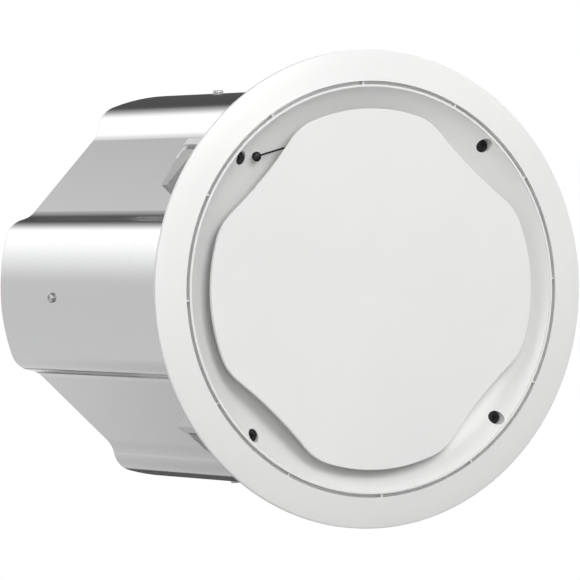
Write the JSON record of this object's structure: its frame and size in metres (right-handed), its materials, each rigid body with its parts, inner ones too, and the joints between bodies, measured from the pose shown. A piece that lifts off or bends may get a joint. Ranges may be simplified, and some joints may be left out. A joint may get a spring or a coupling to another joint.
{
  "type": "in-ceiling speaker",
  "caption": "In-ceiling bass speaker: round white flange and dish with a lobed deflector plate over a port, a lobed aluminium can behind it and swing-out ceiling clamps.",
  "frame": {"origin": "on the speaker's axis, in the plane of the flange's back face, where it seats on the ceiling panel", "axes": "+Z up as the speaker is pictured, with its axis level; the face looks along -Y and the can runs back along +Y, so in a ceiling +Y points up"},
  "size_m": [0.3499, 0.3608, 0.35],
  "materials": {
    "white_moulding": "satin white moulding",
    "can_aluminium": "brushed along the girth",
    "bare_aluminium": "plain sheet",
    "bright_steel": "zinc plated",
    "magnet_steel": "plain steel",
    "black_steel": "black oxide",
    "black_plastic": "fine grain",
    "red_plastic": "fine grain",
    "grey_nylon": "moulded",
    "brass": "turned",
    "black_rubber": "soft",
    "fibreboard": "cut board",
    "ferrite": "pressed ferrite",
    "cone_stock": "pressed",
    "damper_cloth": "treated cloth",
    "copper": "wound wire",
    "wire_cover": "soft cover"
  },
  "bodies": {
    "housing": {"front_bezel": "white_moulding", "deflector_plate": "white_moulding", "plate_screws": "bright_steel", "tether_button": "black_plastic", "tether_anchor": "black_plastic", "tether_wire": "wire_cover", "front_gasket": "black_rubber", "ring_screws": "bright_steel", "can_front_ring": "bare_aluminium", "can_wall": "can_aluminium", "can_back_ring": "bare_aluminium", "back_plate": "can_aluminium", "back_screws": "bright_steel", "driver_board": "fibreboard", "board_screws": "bright_steel", "port_tube": "black_plastic", "driver_basket": "black_steel", "driver_gasket": "black_rubber", "driver_screws": "black_steel", "driver_top_plate": "magnet_steel", "driver_magnet": "ferrite", "driver_yoke": "magnet_steel", "surround": "black_rubber", "spider": "damper_cloth", "driver_terminals": "fibreboard", "leads": "wire_cover", "terminal_block": "black_plastic", "terminal_tabs": "brass", "block_screws": "black_steel", "safety_loop": "bright_steel", "loop_rivets": "bright_steel"},
    "cone_set": {"cone": "cone_stock", "dust_cap": "cone_stock", "voice_coil_former": "bare_aluminium", "voice_coil": "copper"},
    "lever_1": {"terminal_lever_1": "black_plastic"},
    "lever_2": {"terminal_lever_2": "red_plastic"},
    "clamp_screw_1": {"dog_screw_1": "black_steel"},
    "clamp_insert_1": {"dog_insert_1": "brass"},
    "clamp_arm_1": {"dog_arm_1": "grey_nylon"},
    "clamp_screw_2": {"dog_screw_2": "black_steel"},
    "clamp_insert_2": {"dog_insert_2": "brass"},
    "clamp_arm_2": {"dog_arm_2": "grey_nylon"},
    "clamp_screw_3": {"dog_screw_3": "black_steel"},
    "clamp_insert_3": {"dog_insert_3": "brass"},
    "clamp_arm_3": {"dog_arm_3": "grey_nylon"},
    "clamp_screw_4": {"dog_screw_4": "black_steel"},
    "clamp_insert_4": {"dog_insert_4": "brass"},
    "clamp_arm_4": {"dog_arm_4": "grey_nylon"}
  },
  "joints": [
    {"name": "cone_throw", "type": "slide", "parent": "housing", "child": "cone_set", "axis": [0, -1, 0], "range_m": [-0.006, 0.006], "stiffness_N_per_m": 2000, "deforming": ["surround", "spider"]},
    {"name": "lever_1_press", "type": "hinge", "parent": "housing", "child": "lever_1", "pos_m": [-0.011, 0.337, -0.0525], "axis": [-1, 0, 0], "range_deg": [0, 20], "stiffness_Nm_per_rad": 0.2},
    {"name": "lever_2_press", "type": "hinge", "parent": "housing", "child": "lever_2", "pos_m": [0.011, 0.337, -0.0525], "axis": [-1, 0, 0], "range_deg": [0, 20], "stiffness_Nm_per_rad": 0.2},
    {"name": "clamp_screw_1_spin", "type": "hinge", "parent": "housing", "child": "clamp_screw_1", "pos_m": [0.10055, 0, -0.10055], "axis": [0, 1, 0], "range_deg": [0, 6480.1]},
    {"name": "clamp_1_travel", "type": "slide", "parent": "housing", "child": "clamp_insert_1", "axis": [0, -1, 0], "range_m": [0, 0.054]},
    {"name": "clamp_1_swing", "type": "hinge", "parent": "clamp_insert_1", "child": "clamp_arm_1", "pos_m": [0.10055, 0, -0.10055], "axis": [0, 1, 0], "range_deg": [0, 90]},
    {"name": "clamp_screw_2_spin", "type": "hinge", "parent": "housing", "child": "clamp_screw_2", "pos_m": [-0.10055, 0, -0.10055], "axis": [0, 1, 0], "range_deg": [0, 6480.1]},
    {"name": "clamp_2_travel", "type": "slide", "parent": "housing", "child": "clamp_insert_2", "axis": [0, -1, 0], "range_m": [0, 0.054]},
    {"name": "clamp_2_swing", "type": "hinge", "parent": "clamp_insert_2", "child": "clamp_arm_2", "pos_m": [-0.10055, 0, -0.10055], "axis": [0, 1, 0], "range_deg": [0, 90]},
    {"name": "clamp_screw_3_spin", "type": "hinge", "parent": "housing", "child": "clamp_screw_3", "pos_m": [-0.10055, 0, 0.10055], "axis": [0, 1, 0], "range_deg": [0, 6480.1]},
    {"name": "clamp_3_travel", "type": "slide", "parent": "housing", "child": "clamp_insert_3", "axis": [0, -1, 0], "range_m": [0, 0.054]},
    {"name": "clamp_3_swing", "type": "hinge", "parent": "clamp_insert_3", "child": "clamp_arm_3", "pos_m": [-0.10055, 0, 0.10055], "axis": [0, 1, 0], "range_deg": [0, 90]},
    {"name": "clamp_screw_4_spin", "type": "hinge", "parent": "housing", "child": "clamp_screw_4", "pos_m": [0.10055, 0, 0.10055], "axis": [0, 1, 0], "range_deg": [0, 6480.1]},
    {"name": "clamp_4_travel", "type": "slide", "parent": "housing", "child": "clamp_insert_4", "axis": [0, -1, 0], "range_m": [0, 0.054]},
    {"name": "clamp_4_swing", "type": "hinge", "parent": "clamp_insert_4", "child": "clamp_arm_4", "pos_m": [0.10055, 0, 0.10055], "axis": [0, 1, 0], "range_deg": [0, 90]}
  ],
  "couplings": [
    {"joint": "clamp_screw_1_spin", "follows": "clamp_1_travel", "rad_per_m": 2094.4},
    {"joint": "clamp_screw_2_spin", "follows": "clamp_2_travel", "rad_per_m": 2094.4},
    {"joint": "clamp_screw_3_spin", "follows": "clamp_3_travel", "rad_per_m": 2094.4},
    {"joint": "clamp_screw_4_spin", "follows": "clamp_4_travel", "rad_per_m": 2094.4}
  ]
}
